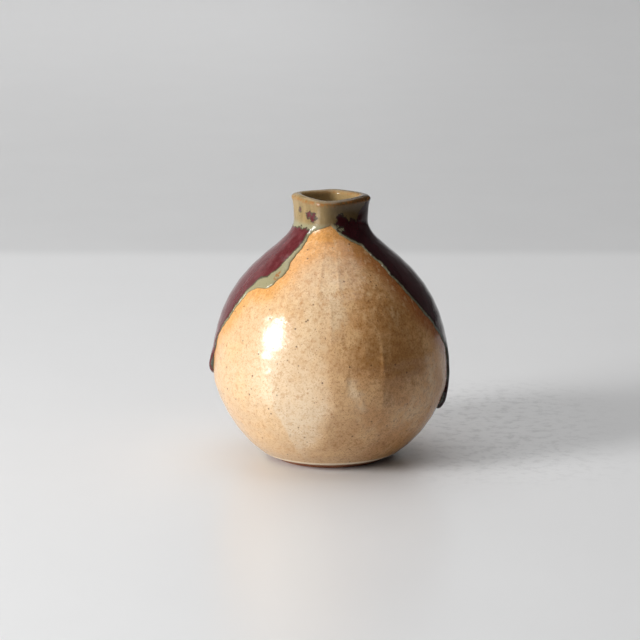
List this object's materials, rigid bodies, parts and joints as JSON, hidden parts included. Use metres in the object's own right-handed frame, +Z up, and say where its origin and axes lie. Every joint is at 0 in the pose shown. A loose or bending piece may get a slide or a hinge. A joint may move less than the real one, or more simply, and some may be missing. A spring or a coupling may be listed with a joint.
{
  "type": "ceramic bud vase",
  "caption": "Small round-bellied studio stoneware bud vase with a short pinched neck, an oatmeal glaze coat and copper-red pours running down both shoulders.",
  "frame": {"origin": "centre of the foot, on the surface the vase stands on", "axes": "+Z up through the mouth, -Y towards the front where the oatmeal glaze shows between the two pours, +X to the right seen from the front"},
  "size_m": [0.092, 0.0902, 0.1025],
  "materials": {
    "clay": "bare fired red-brown stoneware, matt and slightly grainy",
    "oatmeal_glaze": "glossy oatmeal tan glaze with fine brown iron specks and an orange edge beside the pours",
    "liner_glaze": "glossy olive-tan liner glaze",
    "copper_red_glaze": "glossy copper-red glaze, plum where thick and grey-green where it thins at its edges and on the neck"
  },
  "bodies": {
    "root": {"clay_body": "clay", "oatmeal_glaze": "oatmeal_glaze", "liner_glaze": "liner_glaze", "neck_glaze": "copper_red_glaze", "left_pour": "copper_red_glaze", "right_pour": "copper_red_glaze"}
  },
  "joints": []
}
